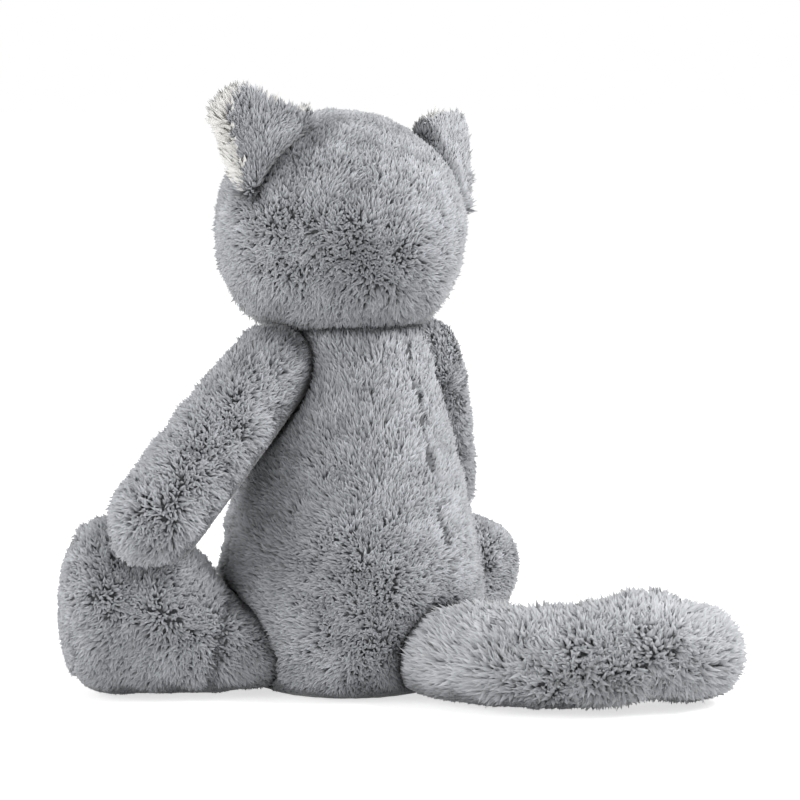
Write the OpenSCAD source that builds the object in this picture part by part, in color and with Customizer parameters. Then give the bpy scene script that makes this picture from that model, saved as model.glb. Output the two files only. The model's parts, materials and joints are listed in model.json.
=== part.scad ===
// Soft stuffed cat that sits on the floor, with its legs out and its tail behind it.
// The cat faces -Y, its left side is +X and the floor is z = 0.

/* [Body] */
// Widest radius of the body
belly_r = 49; // [44:1:52]
// Height of the widest place
belly_z = 36; // [30:1:42]
// Radius of the flat base
base_r = 36; // [30:1:42]
// Radius of the body just under the neck
collar_r = 27; // [26:0.5:29]
// How far each side seam lies forward of the body's side, in degrees
side_seam = 14; // [0:1:30]
// Direction of the seam down the back, in degrees from +X: it turns a little to the tail's side
back_seam = 102; // [90:1:110]
// Radius of the pouch of beads in the base
pouch_r = 19; // [10:1:20]
// Half the height of the pouch
pouch_h = 12; // [8:0.5:13]

/* [Neck and head] */
// Height of the neck ball's centre
neck_z = 132; // [130:1:134]
// Radius of the neck ball
neck_r = 23.5; // [22:0.5:24]
// Radius of the head, seen from above
head_r = 45.5; // [43:0.5:48]
// Half the height of the head
head_h = 41; // [40:0.5:43]
// How full the head is below its widest line: 1 is an ellipse, less is fuller
head_full = 0.62; // [0.5:0.02:1]
// Height of the head's centre above the neck's
head_up = 43.5; // [42:0.5:46]
// How far the head's centre lies forward of the neck
head_forward = 5.5; // [0:0.5:7]
// How far the head tips over to its right, in degrees
head_tip = 5; // [0:1:8]
// Width of the gusset that runs over the head
gusset_w = 26; // [18:1:32]

/* [Face] */
// Radius of each cheek of the muzzle
cheek_r = 15; // [13:0.5:17]
// How far each cheek's centre lies off the middle of the face
cheek_off = 6; // [4:0.5:8]
// How deep a cheek's centre lies inside the head's widest line
cheek_depth = 9.5; // [8:0.5:11]
// How far a cheek's centre lies below the head's
cheek_drop = 9; // [7:0.5:11]
// Radius of an eye
eye_r = 4.6; // [3.5:0.1:6]
// How far each eye lies off the middle of the face, in degrees
eye_angle = 27; // [22:1:34]
// How far the eyes lie above the head's centre
eye_up = 4; // [2:0.5:6]
// Radius of an eye's shank
shank_r = 1.5; // [1.2:0.1:1.8]
// Radius of the washer that holds an eye
washer_r = 6; // [5:0.5:6.5]

/* [Ears] */
// Place of an ear on the head, in degrees from the top
ear_place = 57; // [53:1:61]
// How far the ears sit behind the head's widest line, in degrees
ear_behind = 12; // [0:1:20]
// Turn of an ear about the line that it stands on, its lower end forward
ear_turn = 16; // [0:1:25]
// Width of an ear at its base
ear_w = 38; // [30:1:42]
// Height of an ear above its root
ear_h = 26; // [22:1:32]
// Radius of an ear's round tip
ear_tip_r = 8; // [5:0.5:10]
// Half the thickness of an ear
ear_t = 3.5; // [2.5:0.1:4.5]
// Forward lean of the left ear
ear_left_lean = 6; // [0:1:15]
// Forward lean of the right ear, which flops
ear_right_lean = 44; // [0:1:50]

/* [Arms] */
// Radius of the round shoulder end of an arm
shoulder_r = 15.5; // [14:0.5:16]
// Radius of an arm's paw
paw_r = 16; // [15:0.5:17]
// How far each shoulder lies out from the middle of the body
shoulder_out = 34; // [32:0.5:37]
// How far the shoulders lie forward
shoulder_forward = 2; // [0:0.5:5]
// How far the shoulders lie below the middle of the neck
shoulder_drop = 10.5; // [9:0.5:13]
// Centre of the left paw
left_paw = [85.5, 0, 69.5];
// Centre of the right paw, as it would be on the left side
right_paw = [65.5, -35.5, 69.5];

/* [Legs] */
// Place of the left hip
hip = [40, -2, 18.5];
// Radius of the round hip end of a leg
hip_r = 15.5; // [14:0.5:16]
// Direction of the left leg, in degrees out from straight ahead
leg_left_splay = 56; // [50:1:62]
// Direction of the right leg
leg_right_splay = 28; // [24:1:60]
// How far the right leg rolls its toes outward, in degrees
leg_right_roll = 60; // [30:1:64]
// Radius of the leg between hip and foot
leg_r = 18.5; // [17:0.5:20]
// Height of the upturned foot
foot_h = 65; // [58:1:68]
// Half the width of the foot
foot_w = 22; // [20:0.5:24]
// Length from the hip to the middle of the sole
leg_len = 74; // [68:1:78]

/* [Tail] */
// Radius of the tail
tail_r = 16; // [13:0.5:17]
// Place of the tail's root
tail_root = [-6.5, 48.5, 17];
// Direction in which the tail leaves the body, in degrees from +X
tail_heading = 100; // [80:1:110]
// Angle through which the tail curls
tail_curl = 78; // [40:1:90]
// Length of the tail along its middle, without its round ends
tail_len = 99; // [90:1:110]
// How far the tail lifts off the floor beyond its middle
tail_rise = 5.5; // [0:0.5:7]

/* [Fabric] */
// Thickness of the plush
skin_t = 2.5; // [2:0.1:3]
// Thickness of the fabric turned in at a seam
seam_t = 0.9; // [0.7:0.1:1.2]
// Clearance between pieces
gap = 0.3; // [0.2:0.05:0.4]

/* [Hidden] */
$fn = 48;
// Room that a ball's seam takes up between the ball and its socket
seat = seam_t + 2 * gap;
// Everything inside a skin is this much smaller than the skin
lining = skin_t + gap;
// A size beyond the whole cat, for cutting
big = 400;
head_at = [0, -head_forward, neck_z + head_up];
shoulder = [shoulder_out, -shoulder_forward, neck_z - shoulder_drop];
// Points round a leg or the tail
sides = 20;
// Angle that a seam's cup reaches down from its ball's pole: neck, shoulders, hips and tail
neck_span = 62;
shoulder_span = 38;
hip_span = 52;
// Turn of an arm's two seams round the arm
arm_seam_turn = 35;
// Reach of the hollows that limbs swing in, and how much wider than its slant an arm's is
hollow_reach = 60;
arm_room = 2;
shank_gap = 0.1;
washer_t = 1.2;
thread_r = 0.5;
tail_bend = tail_len / (tail_curl * PI / 180);
// Length over which the hip end widens into the leg
thigh_len = 17;
// Where the leg's foot begins to rise, over what length, and where its sole rounds off
foot_from = 8;
foot_rise = 32;
sole_from = leg_len - 17;
// The sole's own panel is what lies beyond this length
sole_cut = leg_len - 7;

function mixed(a, b, t) = a + (b - a) * t;
function smooth(t) = let (c = min(1, max(0, t))) c * c * (3 - 2 * c);
function backwards(list) = [for (i = [len(list) - 1:-1:0]) list[i]];
function arc(r, from, to, steps) =
    [for (i = [0:steps]) let (a = mixed(from, to, i / steps)) r * [cos(a), sin(a)]];

// Seam allowance folded in round a ball joint: a thin round cup, open along +Z
module cup(r, span) {
    inner = arc(r + gap, 90 - span, 90, 6);
    outer = arc(r + gap + seam_t, 90 - span, 90, 6);
    rotate_extrude() polygon(concat(inner, backwards(outer)));
}

// ---- Body ----
function pear_r(z) = z < belly_z
    ? mixed(base_r, belly_r, sqrt(1 - pow(1 - z / belly_z, 2)))
    : mixed(belly_r, collar_r, pow((z - belly_z) / (neck_z - belly_z), 1.25));
// Outline of the body from the middle of its base to the top of the neck ball
function body_outline(t) = concat(
    [[0, t]],
    [for (i = [0:12]) let (z = mixed(t, neck_z - t, pow(i / 12, 1.4))) [pear_r(z) - t, z]],
    [for (p = arc(neck_r - t, 6, 90, 7)) p + [0, neck_z]]);

// Hollow beside the body that an arm swings in: a cone that just clears the arm, whose
// slant is the arm's, so that raising the arm never brings it nearer to the body
module arm_hollow(side) scale([side, 1, 1]) {
    v = paw_at(side) - shoulder;
    slant = atan2(v.x, norm([v.y, v.z])) - arm_room;
    tip = (shoulder_r + seat) / cos(slant);
    translate(shoulder - [tip, 0, 0]) rotate([0, 90, 0])
        cylinder(h = hollow_reach, r1 = 0, r2 = hollow_reach / tan(slant));
}

// Round hollow with a flared mouth, which a limb's ball sits in, open along +X
module ball_hollow(r) {
    flare = 0.5;
    mouth = 0.92;
    sphere(r + seat);
    rotate([0, 90, 0])
        cylinder(h = hollow_reach, r1 = mouth * (r + seat), r2 = r + seat + hollow_reach * flare);
}

module limb_hollows() {
    for (side = [-1, 1]) {
        arm_hollow(side);
        at_hip(side) ball_hollow(hip_r);
    }
    translate(tail_root) rotate([0, 0, tail_heading]) ball_hollow(tail_r);
}

module body_panel(from, to) {
    wedge_gap = 0.2;
    difference() {
        rotate_extrude(start = from + wedge_gap, angle = to - from - 2 * wedge_gap)
            polygon(concat(body_outline(0), backwards(body_outline(skin_t))));
        limb_hollows();
    }
}

module torso_back_left() color("silver") body_panel(-side_seam, back_seam);
module torso_back_right() color("silver") body_panel(back_seam, 180 + side_seam);
module torso_front() color("darkgray") body_panel(180 + side_seam, 360 - side_seam);

// Flattened pouch that lies on the base, just behind its middle
module pouch_space(t = 0) translate([0, 5, lining + pouch_h]) rotate_extrude()
    polygon([for (p = arc(1, -90, 90, 12)) [p.x * (pouch_r + t), p.y * (pouch_h + t)]]);

module torso_filling() color("white") difference() {
    rotate_extrude() polygon(body_outline(lining));
    limb_hollows();
    pouch_space(gap);
}

module bean_pouch() color("wheat") pouch_space();

// ---- Neck and head ----
module neck_seam() color("gray") translate([0, 0, neck_z]) cup(neck_r, neck_span);

module on_head() translate(head_at) rotate([0, -head_tip, 0]) children();

module head_solid(t = 0) on_head()
    rotate_extrude()
        polygon([for (p = arc(1, -90, 90, 28))
            [pow(p.x, p.y < 0 ? head_full : 1) * (head_r - t), p.y * (head_h - t)]]);

module neck_socket() translate([0, 0, neck_z]) sphere(neck_r + seat);

// Moves its children to an eye's place, with +Z out of the face
module at_eye(side) on_head() rotate([0, 0, side * eye_angle]) translate([0, 0, eye_up])
    rotate([90, 0, 0]) children();

module head_skin() difference() {
    head_solid();
    head_solid(skin_t);
    neck_socket();
    for (side = [-1, 1]) at_eye(side) cylinder(r = shank_r + shank_gap, h = big);
}

module head_slab(w) on_head() translate([-w / 2, -big / 2, -big / 2]) cube([w, big, big]);

module head_side(side) intersection() {
    head_skin();
    on_head() translate([side * (gusset_w + gap + big) / 2, 0, 0]) cube(big, center = true);
}
module head_left() color("silver") head_side(1);
module head_right() color("silver") head_side(-1);

module head_gusset() color("silver") intersection() {
    head_skin();
    head_slab(gusset_w - gap);
}

// The washer's inner face, and how far in the shank ends
washer_z = head_r - skin_t - 3;
shank_z = head_r - 10;

module head_filling() color("white") difference() {
    head_solid(lining);
    neck_socket();
    for (side = [-1, 1]) at_eye(side) {
        translate([0, 0, washer_z - gap]) cylinder(r = washer_r + gap, h = big);
        translate([0, 0, shank_z - 2]) cylinder(r = shank_r + gap, h = big);
    }
}

module at_cheek(side) on_head()
    translate([side * cheek_off, cheek_depth - head_r, -cheek_drop]) children();

module cheeks(t = 0) for (side = [-1, 1]) at_cheek(side) sphere(cheek_r + t);

module muzzle() color("ivory") difference() {
    cheeks();
    head_solid(-gap);
}

// Stitched nose: a rounded triangle that sits in the notch over the cheeks
module nose() color("rosybrown") difference() {
    touch = 0.05;
    on_head() translate([0, -head_r - 4.2, -2]) hull() {
        for (side = [-1, 1]) translate([side * 3.4, 0, 1.5]) sphere(2, $fn = 24);
        translate([0, -0.5, -2]) sphere(1.8, $fn = 24);
    }
    cheeks(touch);
    head_solid(-touch);
}

// One stitch of mouth thread: an arc of radius r about +Z
module stitch(r, from, to) rotate_extrude(start = from, angle = to - from)
    translate([r + thread_r, 0]) circle(thread_r, $fn = 16);

// Mouth: one stitch down from the nose in the cleft and one along each cheek
module mouth_thread() color("dimgray") {
    cleft_r = sqrt(cheek_r * cheek_r - cheek_off * cheek_off);
    at_cheek(0) rotate([0, 90, 0]) stitch(cleft_r + 0.35, 259, 294);
    for (side = [-1, 1])
        at_cheek(side) rotate([24, 0, 0]) stitch(cheek_r + 0.1, 250 + side * 8, 290 + side * 8);
}

// Eye: a bead like the top of a ball, with a shank into the head
module eye(side) color("black") at_eye(side) {
    translate([0, 0, head_r + 0.4]) intersection() {
        translate([0, 0, -1.6]) sphere(eye_r + 0.4);
        cylinder(r = eye_r, h = eye_r);
    }
    translate([0, 0, shank_z]) cylinder(r = shank_r, h = head_r + 0.5 - shank_z);
}
module eye_left() eye(1);
module eye_right() eye(-1);

module eye_washer(side) color("white") at_eye(side) translate([0, 0, washer_z]) difference() {
    cylinder(r = washer_r, h = washer_t);
    translate([0, 0, -1]) cylinder(r = shank_r + shank_gap / 2, h = washer_t + 2);
}
module eye_washer_left() eye_washer(1);
module eye_washer_right() eye_washer(-1);

// ---- Ears ----
ear_spot = [head_r * sin(ear_place), 0, head_h * cos(ear_place)];
ear_tilt = atan2(head_h * sin(ear_place), head_r * cos(ear_place));
// Radius of the head's outline where the ear is sewn on, and of the ear's root
ear_seat_r = pow(pow(head_r * cos(ear_place), 2) + pow(head_h * sin(ear_place), 2), 1.5)
    / (head_r * head_h);
ear_root = 0.5 + ear_t;
ear_foot_angle = asin(ear_w / 2 / (ear_seat_r + ear_root));

// Moves its children to the ear's hinge, with +Z away from the head and +X outward
module at_ear(side, lean) on_head() scale([side, 1, 1]) rotate([0, 0, ear_behind])
    translate(ear_spot) rotate([0, ear_tilt, 0]) translate([0, 0, ear_root])
        rotate([0, 0, -ear_turn]) rotate([lean, 0, 0]) children();

// Flat outline of an ear, whose root follows the head
function ear_outline() =
    let (r = ear_seat_r + ear_root)
    concat(
        [for (i = [0:10]) let (a = mixed(-ear_foot_angle, ear_foot_angle, i / 10))
            [r * sin(a), r * cos(a) - r]],
        [for (i = [0:8]) let (a = mixed(25, 155, i / 8))
            [ear_tip_r * cos(a), ear_h - ear_tip_r + ear_tip_r * sin(a)]]);

module ear_layer(t) rotate([90, 0, 0]) linear_extrude(t) polygon(ear_outline());

// Round root along the foot of the ear, which runs past its ends by some degrees
module ear_bead(r, past = 0) translate([0, 0, -ear_seat_r - ear_root]) rotate([90, 0, 0])
    rotate_extrude(start = 90 - ear_foot_angle - past, angle = 2 * (ear_foot_angle + past))
        translate([ear_seat_r + ear_root, 0]) circle(r, $fn = 24);

module ear_back(side, lean) color("silver") at_ear(side, lean) {
    translate([0, ear_t, 0]) ear_layer(ear_t - 0.1);
    ear_bead(ear_t);
}

module ear_lining(side, lean) color("ivory") at_ear(side, lean) difference() {
    translate([0, -0.1, 0]) ear_layer(ear_t - 0.1);
    ear_bead(ear_t + 0.1, 3);
}

module ear_left_back() ear_back(1, ear_left_lean);
module ear_left_lining() ear_lining(1, ear_left_lean);
module ear_right_back() ear_back(-1, ear_right_lean);
module ear_right_lining() ear_lining(-1, ear_right_lean);

// ---- Arms ----
function paw_at(side) = side > 0 ? left_paw : right_paw;
function arm_len(side) = norm(paw_at(side) - shoulder);
function arm_outline(side, t) = concat(
    arc(shoulder_r - t, -90, 0, 8),
    [for (i = [1:5]) [mixed(shoulder_r, paw_r, smooth(i / 6)) - t, arm_len(side) * i / 6]],
    [for (p = arc(paw_r - t, 0, 90, 8)) p + [0, arm_len(side)]]);

// Moves its children to the shoulder on one side, with +Z down the arm
module at_shoulder(side) scale([side, 1, 1]) {
    v = paw_at(side) - shoulder;
    translate(shoulder) rotate([0, acos(v.z / norm(v)), atan2(v.y, v.x)])
        rotate([0, 0, arm_seam_turn]) children();
}

// Outer or inner half of an arm's skin
module arm_half(side, outer) at_shoulder(side) difference() {
    rotate_extrude() polygon(concat(arm_outline(side, 0), backwards(arm_outline(side, skin_t))));
    translate([0, (outer ? -1 : 1) * (big - gap) / 2, 0]) cube(big, center = true);
}

module arm_filling(side) at_shoulder(side) rotate_extrude() polygon(arm_outline(side, lining));

module shoulder_seam(side) color("gray") scale([side, 1, 1]) translate(shoulder)
    rotate([0, -65, -18]) cup(shoulder_r, shoulder_span);

module shoulder_seam_left() shoulder_seam(1);
module shoulder_seam_right() shoulder_seam(-1);
module arm_left_outer() color("silver") arm_half(1, true);
module arm_left_inner() color("silver") arm_half(1, false);
module arm_left_filling() color("white") arm_filling(1);
module arm_right_outer() color("silver") arm_half(-1, true);
module arm_right_inner() color("silver") arm_half(-1, false);
module arm_right_filling() color("white") arm_filling(-1);

// ---- Legs ----
// Each station of a leg is [distance from the hip, height of its middle, half height,
// half width]. It starts with a round hip end, and the foot turns up at the other end.
function leg_stations(t) = concat(
    [for (i = [0:5]) let (a = mixed(4, 80, i / 5), r = hip_r - t)
        [-r * cos(a), hip.z, r * sin(a), r * sin(a)]],
    [for (i = [0:7]) let (s = mixed(0, sole_from, i / 7), k = smooth(s / thigh_len),
            top = mixed(mixed(hip.z + hip_r, 2 * leg_r, k), foot_h, smooth((s - foot_from) / foot_rise)),
            low = mixed(hip.z - hip_r, 0, k), w = mixed(hip_r, leg_r, k))
        [s, (top + low) / 2, (top - low) / 2 - t,
            mixed(w, foot_w, smooth((s - foot_from) / foot_rise)) - t]],
    [for (i = [1:5]) let (a = mixed(0, 84, i / 5), h = foot_h / 2)
        [sole_from + (leg_len - t - sole_from) * sin(a), h, (h - t) * pow(cos(a), 0.8),
            (foot_w - t) * pow(cos(a), 0.8)]]);

function leg_ring(q) = [for (i = [0:sides - 1]) let (a = 360 * i / sides)
    [q[0], q[3] * cos(a), q[1] + q[2] * sin(a)]];

// Closed solid over a row of rings, each with the same number of points
module loft(rings) {
    last = len(rings) - 1;
    walls = [for (j = [0:last - 1]) for (i = [0:sides - 1]) let (n = (i + 1) % sides)
        [j * sides + i, (j + 1) * sides + i, (j + 1) * sides + n, j * sides + n]];
    ends = [[for (i = [0:sides - 1]) i], [for (i = [sides - 1:-1:0]) last * sides + i]];
    polyhedron([for (ring = rings) each ring], concat(walls, ends), convexity = 4);
}

// Moves its children to the hip on one side, with +X down the leg and +Z up
module at_hip(side) scale([side, 1, 1]) translate(hip)
    rotate([0, 0, (side > 0 ? leg_left_splay : leg_right_splay) - 90])
        rotate([side > 0 ? 0 : -leg_right_roll, 0, 0]) children();

module leg_solid(t) translate([0, 0, -hip.z]) loft([for (q = leg_stations(t)) leg_ring(q)]);

module leg_skin() difference() {
    leg_solid(0);
    leg_solid(skin_t);
}

// Outer or inner half of a leg's skin: it lies on the +Y or the -Y side of the leg
module leg_half(side, outer) at_hip(side) difference() {
    leg_skin();
    translate([0, (outer ? -1 : 1) * (big - gap) / 2, 0]) cube(big, center = true);
    translate([sole_cut - gap + big / 2, 0, 0]) cube(big, center = true);
}

module leg_sole(side) at_hip(side) intersection() {
    leg_skin();
    translate([sole_cut + big / 2, 0, 0]) cube(big, center = true);
}

module leg_filling(side) at_hip(side) leg_solid(lining);
module hip_seam(side) color("gray") at_hip(side) rotate([0, -90, 0]) cup(hip_r, hip_span);

module hip_seam_left() hip_seam(1);
module hip_seam_right() hip_seam(-1);
module leg_left_outer() color("silver") leg_half(1, true);
module leg_left_inner() color("silver") leg_half(1, false);
module leg_left_sole() color("silver") leg_sole(1);
module leg_left_filling() color("white") leg_filling(1);
module leg_right_outer() color("silver") leg_half(-1, true);
module leg_right_inner() color("silver") leg_half(-1, false);
module leg_right_sole() color("silver") leg_sole(-1);
module leg_right_filling() color("white") leg_filling(-1);

// ---- Tail ----
// Middle of the tail at distance s from its root. Beyond its two ends it runs on straight.
function tail_part(s) = min(1, max(0, s / tail_len));
function tail_centre(s) = let (b = tail_curl * tail_part(s), over = s - tail_len * tail_part(s))
    [tail_bend * (cos(b) - 1) - over * sin(b), tail_bend * sin(b) + over * cos(b),
        tail_rise * pow(sin(180 * pow(tail_part(s), 3.2)), 2)];
function tail_ring(s, r) = let (b = tail_curl * tail_part(s), c = tail_centre(s))
    [for (i = [0:sides - 1]) let (a = 360 * i / sides)
        c + r * [-cos(b) * cos(a), -sin(b) * cos(a), sin(a)]];

// Solid tail, smaller by t all round, with round ends
module tail_solid(t) translate(tail_root) rotate([0, 0, tail_heading - 90])
    let (r = tail_r - t) loft(concat(
        [for (a = [4, 22, 40, 58, 76]) tail_ring(-r * cos(a), r * sin(a))],
        [for (i = [0:12]) tail_ring(tail_len * i / 12, r)],
        [for (a = [14, 32, 50, 68, 86]) tail_ring(tail_len + r * sin(a), r * cos(a))]));

module tail_half(top) difference() {
    tail_solid(0);
    tail_solid(skin_t);
    translate([-big / 2, -big / 2, tail_root.z + (top ? gap / 2 - big : -gap / 2)]) cube(big);
}

module tail_seam() color("gray") translate(tail_root) rotate([90, 0, tail_heading - 90])
    cup(tail_r, hip_span);
module tail_top() color("gainsboro") tail_half(true);
module tail_under() color("gainsboro") tail_half(false);
module tail_filling() color("white") tail_solid(lining);

torso_back_left();
torso_back_right();
torso_front();
torso_filling();
bean_pouch();
neck_seam();
head_left();
head_right();
head_gusset();
head_filling();
muzzle();
nose();
mouth_thread();
eye_left();
eye_right();
eye_washer_left();
eye_washer_right();
ear_left_back();
ear_left_lining();
ear_right_back();
ear_right_lining();
shoulder_seam_left();
shoulder_seam_right();
arm_left_outer();
arm_left_inner();
arm_left_filling();
arm_right_outer();
arm_right_inner();
arm_right_filling();
hip_seam_left();
hip_seam_right();
leg_left_outer();
leg_left_inner();
leg_left_sole();
leg_left_filling();
leg_right_outer();
leg_right_inner();
leg_right_sole();
leg_right_filling();
tail_seam();
tail_top();
tail_under();
tail_filling();
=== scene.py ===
"""Looks of the stuffed cat: every plush panel gets its pile, and the face its bead eyes and stitches."""
import json
import math

import bmesh
import bpy
import numpy as np
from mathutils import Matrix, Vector
from mathutils.bvhtree import BVHTree

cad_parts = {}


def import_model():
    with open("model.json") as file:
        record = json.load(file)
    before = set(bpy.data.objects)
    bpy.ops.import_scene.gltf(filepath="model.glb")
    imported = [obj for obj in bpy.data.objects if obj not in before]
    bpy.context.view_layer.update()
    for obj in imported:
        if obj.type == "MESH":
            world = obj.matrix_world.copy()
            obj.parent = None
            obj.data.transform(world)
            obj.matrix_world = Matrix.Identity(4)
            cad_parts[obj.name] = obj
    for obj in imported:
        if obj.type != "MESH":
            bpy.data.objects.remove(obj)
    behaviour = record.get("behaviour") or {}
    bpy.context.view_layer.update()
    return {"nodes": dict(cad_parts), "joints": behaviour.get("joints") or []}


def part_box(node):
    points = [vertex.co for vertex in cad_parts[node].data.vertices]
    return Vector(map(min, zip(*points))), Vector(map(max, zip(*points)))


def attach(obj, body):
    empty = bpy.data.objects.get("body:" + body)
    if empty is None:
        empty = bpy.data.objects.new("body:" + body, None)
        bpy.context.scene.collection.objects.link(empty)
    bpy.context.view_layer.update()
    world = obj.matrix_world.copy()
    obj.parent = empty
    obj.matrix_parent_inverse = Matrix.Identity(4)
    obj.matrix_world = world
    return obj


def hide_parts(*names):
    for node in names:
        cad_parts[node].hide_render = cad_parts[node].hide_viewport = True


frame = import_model()
NODES = frame["nodes"]
MM = 0.001
UP = np.array([0.0, 0.0, 1.0])
NOTHING = 1e-9                      # keeps a division from going wrong where a length is 0
BAKE_MAP = "OFBake"                 # its u is a tuft's shade, and its v is the height on the tuft, lowered on short pile and next to other bodies as painted shade


# ---- materials ----
def new_material(name, roughness, sheen=0.0, sheen_roughness=0.5, coat=0.0):
    """A material with its shader's steady values set, and its tree, ready for a pattern."""
    material = bpy.data.materials.new(name)
    material.use_nodes = True
    tree = material.node_tree
    shader = tree.nodes["Principled BSDF"]
    shader.inputs["Roughness"].default_value = roughness
    shader.inputs["Sheen Weight"].default_value = sheen
    shader.inputs["Sheen Roughness"].default_value = sheen_roughness
    shader.inputs["Coat Weight"].default_value = coat
    return material, tree, shader


def ramp(tree, stops):
    """A colour ramp node with a colour at each place."""
    node = tree.nodes.new("ShaderNodeValToRGB")
    elements = node.color_ramp.elements
    while len(elements) < len(stops):
        elements.new(0.5)
    for element, (at, colour) in zip(elements, stops):
        element.position = at
        element.color = (*colour, 1)
    return node


def pile_material(name, root, middle, tip, pale, dark):
    """Plush: each tuft runs from its dark root to its pale tip, and tufts differ a little in shade."""
    material, tree, shader = new_material(name, 0.6, sheen=0.5, sheen_roughness=0.4)
    link = tree.links.new
    where = tree.nodes.new("ShaderNodeUVMap")
    where.uv_map = BAKE_MAP
    split = tree.nodes.new("ShaderNodeSeparateXYZ")
    link(where.outputs["UV"], split.inputs["Vector"])
    height = ramp(tree, [(0.0, root), (0.42, middle), (0.85, tip), (1.0, tip)])    # root at 0, tip at 1
    # v is lowered on short pile and next to other bodies, which gives them darker colours: painted shade
    link(split.outputs["Y"], height.inputs["Fac"])
    shade = tree.nodes.new("ShaderNodeMapRange")
    shade.inputs["To Min"].default_value = dark
    shade.inputs["To Max"].default_value = pale
    link(split.outputs["X"], shade.inputs["Value"])
    scaled = tree.nodes.new("ShaderNodeVectorMath")
    scaled.operation = "SCALE"
    link(height.outputs["Color"], scaled.inputs[0])
    link(shade.outputs["Result"], scaled.inputs["Scale"])
    link(scaled.outputs["Vector"], shader.inputs["Base Color"])
    return material


def woven_material(name, colour, thread, scale, roughness=0.9):
    """Cloth or fibre seen close: a fine mottle over a plain colour, with a matching bump."""
    material, tree, shader = new_material(name, roughness, sheen=0.2)
    link = tree.links.new
    where = tree.nodes.new("ShaderNodeTexCoord")
    mottle = tree.nodes.new("ShaderNodeTexNoise")
    mottle.inputs["Scale"].default_value = scale
    mottle.inputs["Detail"].default_value = 5
    link(where.outputs["Object"], mottle.inputs["Vector"])
    tones = ramp(tree, [(0.3, thread), (0.7, colour)])
    link(mottle.outputs["Fac"], tones.inputs["Fac"])
    link(tones.outputs["Color"], shader.inputs["Base Color"])
    bump = tree.nodes.new("ShaderNodeBump")
    bump.inputs["Strength"].default_value = 0.5
    bump.inputs["Distance"].default_value = 0.0004
    link(mottle.outputs["Fac"], bump.inputs["Height"])
    link(bump.outputs["Normal"], shader.inputs["Normal"])
    return material


def bead_material():
    """Black eye bead: smooth plastic, with faint dust that breaks the gloss."""
    material, tree, shader = new_material("eye bead", 0.08, coat=0.6)
    link = tree.links.new
    where = tree.nodes.new("ShaderNodeTexCoord")
    dust = tree.nodes.new("ShaderNodeTexNoise")
    dust.inputs["Scale"].default_value = 420
    link(where.outputs["Object"], dust.inputs["Vector"])
    tones = ramp(tree, [(0.45, (0.008, 0.007, 0.006)), (0.8, (0.02, 0.018, 0.016))])
    link(dust.outputs["Fac"], tones.inputs["Fac"])
    link(tones.outputs["Color"], shader.inputs["Base Color"])
    gloss = tree.nodes.new("ShaderNodeMapRange")
    gloss.inputs["To Min"].default_value = 0.05
    gloss.inputs["To Max"].default_value = 0.14
    link(dust.outputs["Fac"], gloss.inputs["Value"])
    link(gloss.outputs["Result"], shader.inputs["Roughness"])
    return material


GREY = pile_material("grey pile", (0.09, 0.093, 0.1), (0.23, 0.238, 0.253),
                     (0.55, 0.565, 0.595), 1.25, 0.66)
LONG = pile_material("long grey pile", (0.14, 0.145, 0.155), (0.35, 0.36, 0.38),
                     (0.64, 0.655, 0.68), 1.2, 0.72)
CREAM = pile_material("cream pile", (0.86, 0.84, 0.79), (0.94, 0.92, 0.88),
                      (0.97, 0.96, 0.93), 1.0, 0.96)
FIBRE = woven_material("fibre filling", (0.85, 0.85, 0.83), (0.6, 0.6, 0.58), 900)
BACKING = woven_material("knitted backing", (0.2, 0.205, 0.215), (0.1, 0.102, 0.11), 1500)
BAG = woven_material("bead bag", (0.7, 0.66, 0.58), (0.5, 0.46, 0.4), 1200)
NOSE_THREAD = woven_material("nose thread", (0.3, 0.17, 0.16), (0.16, 0.08, 0.075), 2600, 0.55)
MOUTH_THREAD = woven_material("mouth thread", (0.1, 0.085, 0.08), (0.04, 0.034, 0.032), 2600, 0.6)
WASHER = woven_material("washer plastic", (0.8, 0.8, 0.78), (0.7, 0.7, 0.68), 500, 0.45)
BEAD = bead_material()


# ---- surfaces of the stuffed bodies ----
def ripple(points, wavelength, seed):
    """A smooth, slowly varying value from about -1 to 1 at each point: the sum of some waves."""
    waves, usual_height = 7, 2.6
    rng = np.random.default_rng(seed)
    total = np.zeros(len(points))
    for _ in range(waves):
        way = rng.normal(size=3)
        way *= 2 * math.pi / (wavelength * rng.uniform(0.7, 1.5) * np.linalg.norm(way))
        total += np.sin(points @ way + rng.uniform(0, 2 * math.pi))
    return total / usual_height


def joined_copy(name, nodes):
    """One object with copies of these CAD nodes' meshes, merged."""
    bm = bmesh.new()
    for node in nodes:
        bm.from_mesh(NODES[node].data)
    bmesh.ops.remove_doubles(bm, verts=bm.verts, dist=1e-6)
    mesh = bpy.data.meshes.new(name)
    bm.to_mesh(mesh)
    bm.free()
    piece = bpy.data.objects.new(name, mesh)
    bpy.context.scene.collection.objects.link(piece)
    return piece


def applied(piece):
    """The piece with its modifiers made part of its mesh."""
    graph = bpy.context.evaluated_depsgraph_get()
    mesh = bpy.data.meshes.new_from_object(piece.evaluated_get(graph))
    piece.modifiers.clear()
    old = piece.data
    piece.data = mesh
    bpy.data.meshes.remove(old)
    return piece


def largest_shell(bm):
    """The vertices of the surface with the most of them, out of those that hang together."""
    seen, shells = set(), []
    bm.verts.ensure_lookup_table()
    for vert in bm.verts:
        if vert.index in seen:
            continue
        shell, todo = [], [vert]
        seen.add(vert.index)
        while todo:
            v = todo.pop()
            shell.append(v)
            for edge in v.link_edges:
                w = edge.other_vert(v)
                if w.index not in seen:
                    seen.add(w.index)
                    todo.append(w)
        shells.append(shell)
    return set(max(shells, key=len))


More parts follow.
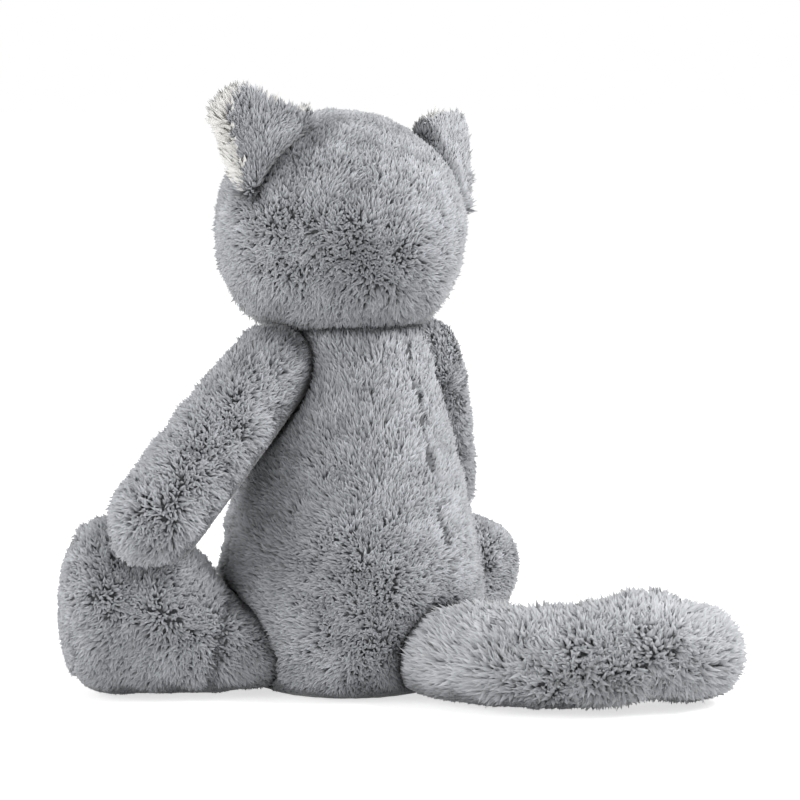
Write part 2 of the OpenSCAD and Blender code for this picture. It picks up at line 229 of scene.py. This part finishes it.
def outer_skin(name, nodes, voxel):
    """One closed, smooth surface round a stuffed body, as a bmesh."""
    piece = joined_copy(name, nodes)
    remesh = piece.modifiers.new("close the seams", "REMESH")
    remesh.mode = "VOXEL"
    remesh.voxel_size = voxel
    smooth = piece.modifiers.new("ease", "SMOOTH")
    smooth.iterations = 3
    applied(piece)
    bm = bmesh.new()
    bm.from_mesh(piece.data)
    bpy.data.objects.remove(piece)
    bmesh.ops.triangulate(bm, faces=bm.faces)
    keep = largest_shell(bm)
    bmesh.ops.delete(bm, geom=[v for v in bm.verts if v not in keep], context="VERTS")
    bm.normal_update()
    return bm


def tree_of(nodes):
    """A search tree of these CAD nodes' faces."""
    bm = bmesh.new()
    for node in nodes:
        bm.from_mesh(NODES[node].data)
    tree = BVHTree.FromBMesh(bm)
    bm.free()
    return tree


def surface_points(faces, spacing, rng):
    """Points spread evenly over some faces, about spacing apart, with their normals. More are drawn
    at random than are needed, and one in each small cube of space is kept."""
    drawn, cube = 2.2, 0.92
    tris = np.array([[v.co[:] for v in f.verts] for f in faces])
    normals = np.array([[v.normal[:] for v in f.verts] for f in faces])
    area = np.linalg.norm(np.cross(tris[:, 1] - tris[:, 0], tris[:, 2] - tris[:, 0]), axis=1) / 2
    many = int(area.sum() / spacing ** 2 * drawn)
    pick = rng.choice(len(tris), many, p=area / area.sum())
    a, b = rng.random((2, many))
    fold = a + b > 1
    a[fold], b[fold] = 1 - a[fold], 1 - b[fold]
    weight = np.stack([1 - a - b, a, b], 1)[:, :, None]
    points, out = (tris[pick] * weight).sum(1), (normals[pick] * weight).sum(1)
    out /= np.linalg.norm(out, axis=1)[:, None]
    cell = np.floor(points / (spacing * cube) + rng.random(3)).astype(np.int64)
    _, first = np.unique(cell, axis=0, return_index=True)
    first.sort()
    return points[first], out[first]


# ---- pile ----
CURL = 0.35             # how much more a tuft bends over towards its tip
ROOT_DEPTH = 0.0006     # how far a tuft's root reaches into its backing
BACKING_THICK = 0.002   # thickness of a panel's backing
FLOOR_GAP = 0.0002      # lowest height of anything that lies on the floor
UNDERSIDE = 0.0012      # no pile grows under this height on a face that looks down
PRESS_REACH = 0.012     # pile nearer than this to another body, or to the floor, is pressed short; near another body it also gets painted shade
PRESS_SLOPE = 0.42      # how much longer pressed pile gets with its distance from the other body
FLAT = 0.12             # share of its length that pile keeps right at the floor
SEAM_WIDTH = 0.0021     # how far pile parts on each side of a seam
BARE = 1.02             # where pile parts more than this, it shows its backing
LOCK = 0.0028           # size of the locks in which the tips of shaggy pile gather
MOST_LEAN = 2.0         # farthest that a tuft lies over, as a multiple of its height
SKIN_SHARE = 0.7        # how much a tuft is shaded as the surface it stands on
TIP_SHARE = 0.35        # how much its tip is shaded as if it faced along the tuft
BAKE_SPREAD = 0.004     # how far apart a face's corners lie across the bake map, so that it has an area
BACKING_BAKE = [[0.30, 0.16], [0.31, 0.16], [0.30, 0.17]]   # a backing's faces: as dark as a root
TRIM_GAP = 0.0007       # no pile stands nearer than this to a piece that it is trimmed round
TRIM_LENGTH = 0.0006    # length of trimmed pile next to that piece
TRIM_SLOPE = 0.8        # how much longer trimmed pile gets with its distance from that piece


def tuft_shape(bud=0.45):
    """One tuft, a unit high and a unit wide: a slim closed bud, from a cone with a drawn-down base.
    bud is the cone's share of the height."""
    bm = bmesh.new()
    bmesh.ops.create_cone(bm, cap_ends=True, segments=3, radius1=0.5, radius2=0, depth=bud)
    bmesh.ops.translate(bm, verts=bm.verts, vec=(0, 0, 1 - bud / 2))
    bmesh.ops.remove_doubles(bm, verts=bm.verts, dist=1e-5)
    foot = max(bm.faces, key=lambda f: -f.normal.z)
    low = bmesh.ops.poke(bm, faces=[foot])["verts"][0]
    low.co.z = 0
    bmesh.ops.recalc_face_normals(bm, faces=bm.faces)
    bm.verts.ensure_lookup_table()
    verts = np.array([v.co[:] for v in bm.verts])
    faces = np.array([[v.index for v in f.verts] for f in bm.faces])
    bm.free()
    return verts, faces


TUFT, TUFT_FACES = tuft_shape()


def tufts(points, out, lean, length, width, tint, rng):
    """Vertices, faces, bake-map places and normals of one tuft at each point. lean is how far each tip
    lies over. tint holds each tuft's shade and how far up the colours of full pile it reaches; that reach is
    lowered where shade is painted on."""
    axis = out + lean
    axis /= np.linalg.norm(axis, axis=1)[:, None]
    side = np.cross(axis, rng.normal(size=axis.shape))
    side /= np.linalg.norm(side, axis=1)[:, None]
    other = np.cross(axis, side)
    high = TUFT[:, 2]
    bend = CURL * (high ** 2 - 0.25 * high)
    reach = length[:, None, None] * (high[None, :, None] * axis[:, None, :]
                                     + bend[None, :, None] * lean[:, None, :])
    wide = width[:, None, None] * (TUFT[None, :, 0, None] * side[:, None, :]
                                   + TUFT[None, :, 1, None] * other[:, None, :])
    verts = (points - out * ROOT_DEPTH)[:, None, :] + reach + wide
    count, each = len(points), len(TUFT)
    faces = (TUFT_FACES[None] + (np.arange(count) * each)[:, None, None]).reshape(-1, 3)
    place = np.zeros((count, len(TUFT_FACES), 3, 2))
    place[..., 0] = tint[:, 0, None, None] + np.array([-BAKE_SPREAD, 0.0, BAKE_SPREAD])[None, None, :]
    place[..., 1] = tint[:, 1, None, None] * high[TUFT_FACES][None]
    soft = SKIN_SHARE * out[:, None, :] + wide / (width[:, None, None] + NOTHING)
    soft += TIP_SHARE * axis[:, None, :] * (high > 0.9)[None, :, None]
    return verts.reshape(-1, 3), faces, place.reshape(-1, 2), soft.reshape(-1, 3)


def plush_piece(name, backing, part, material):
    """A panel: its backing, a closed bmesh, and the tufts that stand on it, in one mesh. The tufts are
    shaded mostly as the surface they stand on, as soft pile is."""
    verts, faces, place, soft = part
    base = np.array([v.co[:] for v in backing.verts])
    base_faces = np.array([[v.index for v in f.verts] for f in backing.faces])
    base_place = np.tile(BACKING_BAKE, (len(base_faces), 1))
    verts, faces = np.concatenate([base, verts]), np.concatenate([base_faces, faces + len(base)])
    place = np.concatenate([base_place, place])
    soft = np.concatenate([np.array([v.normal[:] for v in backing.verts]), soft])
    soft /= np.maximum(np.linalg.norm(soft, axis=1), NOTHING)[:, None]
    verts[:, 2] = np.maximum(verts[:, 2], FLOOR_GAP)
    mesh = bpy.data.meshes.new(name)
    mesh.vertices.add(len(verts))
    mesh.vertices.foreach_set("co", verts.ravel())
    mesh.loops.add(len(faces) * 3)
    mesh.loops.foreach_set("vertex_index", faces.ravel().astype(np.int32))
    mesh.polygons.add(len(faces))
    mesh.polygons.foreach_set("loop_start", np.arange(0, len(faces) * 3, 3, dtype=np.int32))
    mesh.polygons.foreach_set("use_smooth", np.ones(len(faces), bool))
    mesh.update()
    bake = mesh.uv_layers.new(name=BAKE_MAP)
    bake.data.foreach_set("uv", place.ravel().astype(np.float32))
    mesh.validate()
    mesh.normals_split_custom_set_from_vertices(soft.tolist())
    mesh.materials.append(material)
    piece = bpy.data.objects.new(name, mesh)
    bpy.context.scene.collection.objects.link(piece)
    return piece


def panel_backing(skin, owner, index):
    """The part of a skin that belongs to one panel, given its thickness inward: a closed bmesh."""
    bm = skin.copy()
    bm.faces.ensure_lookup_table()
    bmesh.ops.delete(bm, geom=[f for f in bm.faces if owner[f.index] != index], context="FACES")
    bmesh.ops.solidify(bm, geom=bm.faces[:], thickness=BACKING_THICK)
    bmesh.ops.recalc_face_normals(bm, faces=bm.faces)
    bmesh.ops.triangulate(bm, faces=bm.faces)
    bm.verts.index_update()
    bm.normal_update()
    return bm


def nearest(tree, points, reach=0.004):
    """Distance from each point to a tree, the place there, and whether the point lies inside it. A
    point with nothing in reach gets a distance of 1 m."""
    distance, inside = np.full(len(points), 1.0), np.zeros(len(points), bool)
    places = points + UP
    for i, p in enumerate(points.tolist()):
        place, normal, _, d = tree.find_nearest(p, reach)
        if place is not None:
            distance[i], places[i] = d, place
            inside[i] = (Vector(p) - place).dot(normal) < 0
    return distance, places, inside


class Style:
    """How one kind of pile stands: its length, width and spacing, how far it lies over, how unevenly, how
    much its tips gather, how short it is where another body presses on it, and how dark its painted shade is
    there."""

    def __init__(self, material, length, width, spacing, lie, ruffle, clump=0.0, pressed=1.1, dark=0.62):
        self.material = material
        self.length, self.width, self.spacing = length * MM, width * MM, spacing * MM
        self.lie, self.ruffle, self.clump = lie, ruffle, clump
        # dark is the painted shade on pile right next to another body, as a share of its colour ramp; 1 is
        # none
        self.pressed, self.dark = pressed * MM, dark


BODY = Style(GREY, 4.4, 1.45, 0.8, 1.35, 0.36)
FRONT = Style(GREY, 4.4, 1.5, 0.84, 1.35, 0.36)
HEAD = Style(GREY, 4.6, 1.5, 0.82, 1.35, 0.36, pressed=2.4, dark=0.64)
LIMB = Style(GREY, 5.0, 1.55, 0.84, 1.3, 0.4)
# Right arm and leg: longer pile next to the torso and no painted shade there, so they come out lighter, as
# the light falls on them
LIT_LIMB = Style(GREY, 5.0, 1.55, 0.84, 1.3, 0.34, pressed=2.4, dark=1.0)
SOLE = Style(GREY, 3.2, 1.45, 0.84, 1.3, 0.38)
EAR = Style(GREY, 4.4, 1.45, 0.78, 1.6, 0.3, pressed=2.6, dark=1.0)
LINING = Style(CREAM, 5.4, 1.5, 0.78, 1.1, 0.24, pressed=2.4, dark=0.95)
SHAGGY = Style(LONG, 7.4, 2.0, 0.94, 1.45, 0.32, clump=0.25)
FACE = Style(CREAM, 2.2, 0.8, 0.62, 0.6, 0.25)


def other_skins(label):
    """A tree of every stuffed body's skin but one."""
    bm = bmesh.new()
    for key, skin in SKINS.items():
        if key != label:
            copy = bpy.data.meshes.new("near")
            skin.to_mesh(copy)
            bm.from_mesh(copy)
            bpy.data.meshes.remove(copy)
    tree = BVHTree.FromBMesh(bm)
    bm.free()
    return tree


def parted(points, lean, length, seams, parting, seed):
    """Lean and length of pile that parts along seams, in some places more than in others."""
    gap, place, _ = nearest(seams, points)
    away = (points - place) / np.maximum(gap, 1e-6)[:, None]
    close = np.exp(-(gap / SEAM_WIDTH) ** 2) * parting
    close = close * np.clip(0.75 + 1.1 * ripple(points, 0.009, seed), 0, 1.2)      # in short stretches
    back_over = np.minimum((lean * away).sum(1), 0) * np.minimum(close, 1)
    lean = lean + away * (1.4 * close - back_over)[:, None]
    length = length * (1 - 0.6 * np.clip(close, 0, 1))
    return lean, np.where(close > BARE, 0, length)


def trimmed(points, length, trim):
    """Length of pile that is cut back round the eyes, the nose and the stitches."""
    gap, _, under = nearest(trim, points)
    stands = (gap > TRIM_GAP) & ~under
    return np.where(stands, np.minimum(length, TRIM_LENGTH + TRIM_SLOPE * gap), 0)


def gathered(points, out, lean, length, clump):
    """Lean of tufts whose tips gather in locks."""
    tips = points + (out + lean) * length[:, None]
    _, group = np.unique(np.floor(tips / LOCK).astype(np.int64), axis=0, return_inverse=True)
    group = group.ravel()
    middle = np.stack([np.bincount(group, tips[:, k]) for k in range(3)], 1)
    middle /= np.bincount(group)[:, None]
    return lean + (middle[group] - tips) * clump / length[:, None]


def pile(faces, style, nap, growth, seams, near, parting, trim, seed):
    """The tufts on one panel. They part along its seams, and are pressed short where another stuffed body
    or the floor is near. Short pile shows only its darker lower colours, and pile next to another body is
    darkened further: painted shade."""
    rng = np.random.default_rng(seed)
    points, out = surface_points(faces, style.spacing, rng)
    free = ~((points[:, 2] < UNDERSIDE) & (out[:, 2] < -0.6))
    points, out = points[free], out[free]
    room, _, inside = nearest(near, points, PRESS_REACH)
    room[inside] = 0
    uneven = rng.uniform(0.8, 1.1, len(points))
    length = style.length * uneven * (1 + 0.12 * ripple(points, 0.012, seed))
    length *= growth(points) * np.interp(points[:, 2], [0, PRESS_REACH], [FLAT, 1])
    length = np.minimum(length, style.pressed + PRESS_SLOPE * room)
    swirl = np.stack([ripple(points, 0.014, seed + k) for k in (1, 2, 3)], 1)
    lean = nap(points, out) * style.lie + swirl * 0.34 + rng.normal(size=points.shape) * style.ruffle
    if seams:
        lean, length = parted(points, lean, length, seams, parting, seed // 10)
    if trim:
        length = trimmed(points, length, trim)
    # painted shade: pile next to another body is darkened, down to style.dark where they touch
    painted_shade = np.interp(room, [0, PRESS_REACH], [style.dark, 1])
    points, out, painted_shade, lean, length = (x[length > 0] for x in (points, out, painted_shade, lean, length))
    lean -= out * (lean * out).sum(1)[:, None]
    size = np.linalg.norm(lean, axis=1)
    lean *= (np.minimum(size, MOST_LEAN) / np.maximum(size, NOTHING))[:, None]
    if style.clump:
        lean = gathered(points, out, lean, length, style.clump)
    patches = ripple(points, 0.01, seed + 9)
    shade = np.clip(0.5 + 0.16 * patches + rng.normal(size=len(points)) * 0.16, 0.02, 0.98)
    # Share of the root-to-tip colours that a tuft shows. Short pile shows only the darker lower colours:
    # where it is short in the leg's crease, at parted seams, at the floor and beside other bodies this is
    # painted shade; round the face it is pile trimmed of its pale tips.
    full = np.clip(length / (style.length * 0.8), 0.5, 1) * painted_shade
    width = style.width * rng.uniform(0.75, 1.2, len(points)) * (0.5 + 0.5 * full)
    return tufts(points, out, lean, length, width, np.stack([shade, full], 1), rng)


def even(points):
    """Growth of pile that is as long everywhere."""
    return 1


def unmoved(normal):
    """A seam that stays where the panels meet."""
    return UP * 0


def cover(label, panels, filling, nap, seed, body=None, parting=0.0, trim=(), growth=even, rolled=unmoved):
    """Covers one stuffed body with plush: a backing and its pile for each CAD panel, which it replaces.
    growth varies the pile's length, and rolled moves the seam that faces of one direction are next to."""
    skin = SKINS[label]
    names = list(panels)
    trees = [tree_of([name]) for name in names]
    owner = []
    for face in skin.faces:
        centre = face.calc_center_median() + Vector(rolled(face.normal))
        owner.append(min(range(len(names)), key=lambda k: trees[k].find_nearest(centre)[3]))
    near = other_skins(label)
    trim_tree = tree_of(trim) if trim else None
    for k, (panel, style) in enumerate(panels.items()):
        faces = [f for f in skin.faces if owner[f.index] == k]
        others = [name for name in names if name != panel]
        seams = tree_of(others) if others else None
        part = pile(faces, style, nap, growth, seams, near, parting, trim_tree, seed * 10 + k)
        backing = panel_backing(skin, owner, k)
        piece = plush_piece(panel + "_plush", backing, part, style.material)
        backing.free()
        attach(piece, body or label)
        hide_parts(panel)
    if filling:
        paint(filling, FIBRE)


def paint(node, material):
    """Gives a CAD node that is carried over its only material."""
    data = NODES[node].data
    data.materials.clear()
    data.materials.append(material)


def spreading(a, b, reach):
    """A nap that spreads over the surface from a line between two places, where the pile stands up."""
    a, b = np.array(a), np.array(b)

    def nap(points, out):
        along = np.clip((points - a) @ (b - a) / ((b - a) @ (b - a)), 0, 1)
        away = points - a - along[:, None] * (b - a)
        away -= out * (away * out).sum(1)[:, None]
        far = np.linalg.norm(away, axis=1)
        return away * (np.tanh(far / reach) / np.maximum(far, 1e-6))[:, None]
    return nap


# ---- the stuffed bodies ----
def at_joint(name):
    """The place of a joint's axis."""
    return np.array({j["name"]: j for j in frame["joints"]}[name]["pos_m"])


def middle_of(node):
    """The middle of a node's box."""
    low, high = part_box(node)
    return np.array((low + high) / 2)


def turned(angle, across, height):
    """A place across from the upright axis, in the direction angle in degrees from +X."""
    return np.array([across * math.cos(math.radians(angle)), across * math.sin(math.radians(angle)), height])


def far_end(node, start):
    """The place on a node that is farthest from its joint."""
    verts = np.array([v.co[:] for v in NODES[node].data.vertices])
    return verts[np.argmax(np.linalg.norm(verts - start, axis=1))]


def cover_torso():
    """The nap spreads from a place low on the back, and the pile parts well at the side and back seams."""
    low, high = turned(66, 0.047, 0.024), turned(72, 0.044, 0.040)
    cover("torso", {"torso_back_left": BODY, "torso_back_right": BODY, "torso_front": FRONT},
          "torso_filling", spreading(low, high, 0.034), 11, parting=1.1)
    paint("bean_pouch", BAG)


def head_growth(points):
    """Head pile: longest at the neck and shortest on the crown."""
    neck, cheek, crown = 0.135, 0.16, 0.205
    return np.interp(points[:, 2], [neck, cheek, crown], [1.4, 1.0, 0.7])


def cover_head():
    """The nap spreads from a line across the back of the head."""
    middle = middle_of("head_filling")
    left, right = middle + turned(8, 0.044, -0.002), middle + turned(82, 0.044, -0.018)
    cover("head", dict.fromkeys(["head_left", "head_right", "head_gusset"], HEAD), "head_filling",
          spreading(left, right, 0.026), 21, parting=0.1,
          trim=("eye_left", "eye_right", "nose", "mouth_thread"), growth=head_growth)


def cover_muzzle():
    """The nap spreads from the nose."""
    nose = middle_of("nose")
    cover("muzzle", {"muzzle": FACE}, None, spreading(nose, nose + UP * 0.001, 0.006), 31, body="head",
          trim=("nose", "mouth_thread"))


def arm_growth(shoulder, reach, sign):
    """Arm pile: shorter at the shoulder, and along the side that faces the torso."""
    way = reach / np.linalg.norm(reach)
    inward = np.array([-sign, 0, 0]) + way * way[0] * sign
    inward /= np.linalg.norm(inward)

    def growth(points):
        here = points - shoulder
        return np.interp(here @ way, [0, 0.03], [0.7, 1]) * np.interp(here @ inward, [0, 0.012], [1, 0.25])
    return growth


def cover_arm(s, sign, limb, behind, seed):
    """The nap spreads from a line along the back of the arm."""
    shoulder = at_joint(f"arm_{s}_swing")
    reach = far_end(f"arm_{s}_filling", shoulder) - shoulder
    nap = spreading(shoulder + reach * 0.32 + behind, shoulder + reach * 0.74 + behind, 0.024)
    cover("arm_" + s, {f"arm_{s}_outer": limb, f"arm_{s}_inner": limb}, f"arm_{s}_filling", nap, seed,
          parting=0.2, growth=arm_growth(shoulder, reach, sign))


def leg_growth(hip, reach, sign):
    """Leg pile: shorter on the right leg, with a crease round the leg just beyond the hip, where the short
    pile is also given darker colours as painted shade.
    """
    way = reach / np.linalg.norm(reach)
    crease, crease_width = 0.017, 0.0025

    def growth(points):
        past = (points - hip) @ way - crease
        return 0.87 + 0.13 * sign - 0.55 * np.exp(-(past / crease_width) ** 2)
    return growth


def cover_leg(s, sign, limb, behind, seed):
    """The nap spreads from a line along the back of the leg."""
    hip = at_joint(f"leg_{s}_splay")
    reach = middle_of(f"leg_{s}_sole") - hip
    nap = spreading(hip + reach * 0.38 + behind * 1.2, hip + reach * 0.72 + behind * 1.2 + UP * 0.01, 0.028)
    cover("leg_" + s, {f"leg_{s}_outer": limb, f"leg_{s}_inner": limb, f"leg_{s}_sole": SOLE},
          f"leg_{s}_filling", nap, seed, parting=0.5, growth=leg_growth(hip, reach, sign))


def onto_back(normal):
    """Moves the lining's seam from the left ear's outer edge onto its back."""
    return np.array([0, -0.022, 0]) * max(0, normal.x)


def cover_ear(s, sign, seed):
    """The nap runs up from below the ear, and the pile is shorter on the side next to the head."""
    root = at_joint(f"ear_{s}_flop")

    def growth(points):
        return np.interp((points[:, 0] - root[0]) * sign, [-0.012, 0.01], [0.75, 1])
    cover("ear_" + s, {f"ear_{s}_back": EAR, f"ear_{s}_lining": LINING}, None,
          spreading(root - UP * 0.02, root - UP * 0.021, 0.006), seed, growth=growth,
          rolled=onto_back if s == "left" else unmoved)


def cover_tail():
    """The nap spreads from a line along the outer half of the tail."""
    root = at_joint("tail_swing")
    reach = far_end("tail_filling", root) - root
    behind = turned(53, 0.018, 0)
    near = root + reach * 0.42 + behind - UP * 0.012
    far = root + reach * 0.74 + behind + UP * 0.002
    cover("tail", {"tail_top": SHAGGY, "tail_under": SHAGGY}, "tail_filling", spreading(near, far, 0.036), 71)


def all_skins():
    """The outer skin of every stuffed body, each with the size of its remesh."""
    skins = {
        "torso": outer_skin("torso_skin", ["torso_back_left", "torso_back_right", "torso_front",
                                           "torso_filling", "bean_pouch"], 1.8 * MM),
        "head": outer_skin("head_skin", ["head_left", "head_right", "head_gusset", "head_filling"], 1.8 * MM),
        "muzzle": outer_skin("muzzle_skin", ["muzzle"], 1.2 * MM),
        "tail": outer_skin("tail_skin", ["tail_top", "tail_under", "tail_filling"], 1.6 * MM),
    }
    for s in SIDES:
        arm = [f"arm_{s}_{part}" for part in ("outer", "inner", "filling")]
        leg = [f"leg_{s}_{part}" for part in ("outer", "inner", "sole", "filling")]
        skins["arm_" + s] = outer_skin("arm_skin", arm, 1.6 * MM)
        skins["leg_" + s] = outer_skin("leg_skin", leg, 1.6 * MM)
        skins["ear_" + s] = outer_skin("ear_skin", [f"ear_{s}_back", f"ear_{s}_lining"], 1.0 * MM)
    return skins


SIDES = ("left", "right")
SKINS = all_skins()
cover_torso()
cover_head()
cover_muzzle()
for n, side in enumerate(SIDES):
    outward = 1 if side == "left" else -1
    # the left limbs get painted shade beside the torso; the right ones are left lighter, as lit
    limb_style = LIMB if side == "left" else LIT_LIMB
    behind_limb = turned(90 - 37 * outward, 0.017, 0.004)
    cover_arm(side, outward, limb_style, behind_limb, 41 + n)
    cover_leg(side, outward, limb_style, behind_limb, 51 + n)
    cover_ear(side, outward, 61 + n)
    paint("shoulder_seam_" + side, BACKING)
    paint("hip_seam_" + side, BACKING)
    paint("eye_" + side, BEAD)
    paint("eye_washer_" + side, WASHER)
cover_tail()
paint("tail_seam", BACKING)
paint("neck_seam", BACKING)
paint("nose", NOSE_THREAD)
paint("mouth_thread", MOUTH_THREAD)


# ---- floor, light and camera ----
def seen_socket(tree):
    """A socket that is 1 for the camera, mirrors and glass, and 0 for the light itself."""
    rays = tree.nodes.new("ShaderNodeLightPath")
    most = tree.nodes.new("ShaderNodeMath")
    most.operation = "MAXIMUM"
    tree.links.new(rays.outputs["Is Camera Ray"], most.inputs[0])
    tree.links.new(rays.outputs["Is Glossy Ray"], most.inputs[1])
    again = tree.nodes.new("ShaderNodeMath")
    again.operation = "MAXIMUM"
    tree.links.new(most.outputs[0], again.inputs[0])
    tree.links.new(rays.outputs["Is Transmission Ray"], again.inputs[1])
    return again.outputs[0]


def floor(boost=0.66):
    """A pale floor that looks as white as the background and still takes a shadow. boost is the glow
    that is added to what is seen."""
    bm = bmesh.new()
    bmesh.ops.create_grid(bm, x_segments=1, y_segments=1, size=40)
    mesh = bpy.data.meshes.new("floor")
    bm.to_mesh(mesh)
    bm.free()
    sheet = bpy.data.objects.new("floor", mesh)
    bpy.context.scene.collection.objects.link(sheet)
    material = bpy.data.materials.new("pale floor")
    material.use_nodes = True
    tree = material.node_tree
    tree.nodes.remove(tree.nodes["Principled BSDF"])
    diffuse = tree.nodes.new("ShaderNodeBsdfDiffuse")
    diffuse.inputs["Color"].default_value = (0.8, 0.8, 0.8, 1)
    glow = tree.nodes.new("ShaderNodeEmission")
    scaled = tree.nodes.new("ShaderNodeMath")
    scaled.operation = "MULTIPLY"
    scaled.inputs[1].default_value = boost
    tree.links.new(seen_socket(tree), scaled.inputs[0])
    tree.links.new(scaled.outputs[0], glow.inputs["Strength"])
    both = tree.nodes.new("ShaderNodeAddShader")
    tree.links.new(diffuse.outputs[0], both.inputs[0])
    tree.links.new(glow.outputs[0], both.inputs[1])
    tree.links.new(both.outputs[0], tree.nodes["Material Output"].inputs["Surface"])
    mesh.materials.append(material)


def world(lighting=0.46, seen=1.0):
    """An even white all round, weaker as a light than it looks."""
    sky = bpy.data.worlds.new("studio")
    bpy.context.scene.world = sky
    sky.use_nodes = True
    tree = sky.node_tree
    back = tree.nodes["Background"]
    level = tree.nodes.new("ShaderNodeMapRange")
    level.inputs["To Min"].default_value = lighting
    level.inputs["To Max"].default_value = seen
    tree.links.new(seen_socket(tree), level.inputs["Value"])
    tree.links.new(level.outputs["Result"], back.inputs["Strength"])
    back.inputs["Color"].default_value = (1, 1, 1, 1)


def lamp(name, place, aim, size, power):
    """A round area light."""
    light = bpy.data.lights.new(name, "AREA")
    light.shape = "DISK"
    light.size = size
    light.energy = power
    obj = bpy.data.objects.new(name, light)
    bpy.context.scene.collection.objects.link(obj)
    obj.location = place
    obj.rotation_euler = (Vector(aim) - Vector(place)).to_track_quat("-Z", "Y").to_euler()


AZIMUTH, ELEVATION = math.radians(143), math.radians(6)
right = Vector((math.cos(AZIMUTH), math.sin(AZIMUTH), 0))
back = Vector((math.sin(AZIMUTH) * math.cos(ELEVATION), -math.cos(AZIMUTH) * math.cos(ELEVATION),
               math.sin(ELEVATION)))
up = back.cross(right)


def camera(across=0.0192, high=0.1075, distance=1.1):
    """The camera, from the cat's left and behind: back points to it, and right and up are its own."""
    lens = bpy.data.cameras.new("camera")
    lens.lens = 128.9
    lens.sensor_width = 36
    eye = bpy.data.objects.new("camera", lens)
    bpy.context.scene.collection.objects.link(eye)
    eye.location = right * across + up * high + back * distance
    eye.rotation_euler = back.to_track_quat("Z", "Y").to_euler()
    bpy.context.scene.camera = eye


floor()
world()
lamp("key", back * 0.25 + up * 1.05 + right * 1.05, aim=(0, 0, 0.1), size=0.9, power=17)
lamp("fill", back * 0.5 + up * 0.5 - right * 1.2, aim=(0, 0, 0.06), size=1.0, power=9)
camera()
bpy.context.scene.view_settings.view_transform = "Standard"
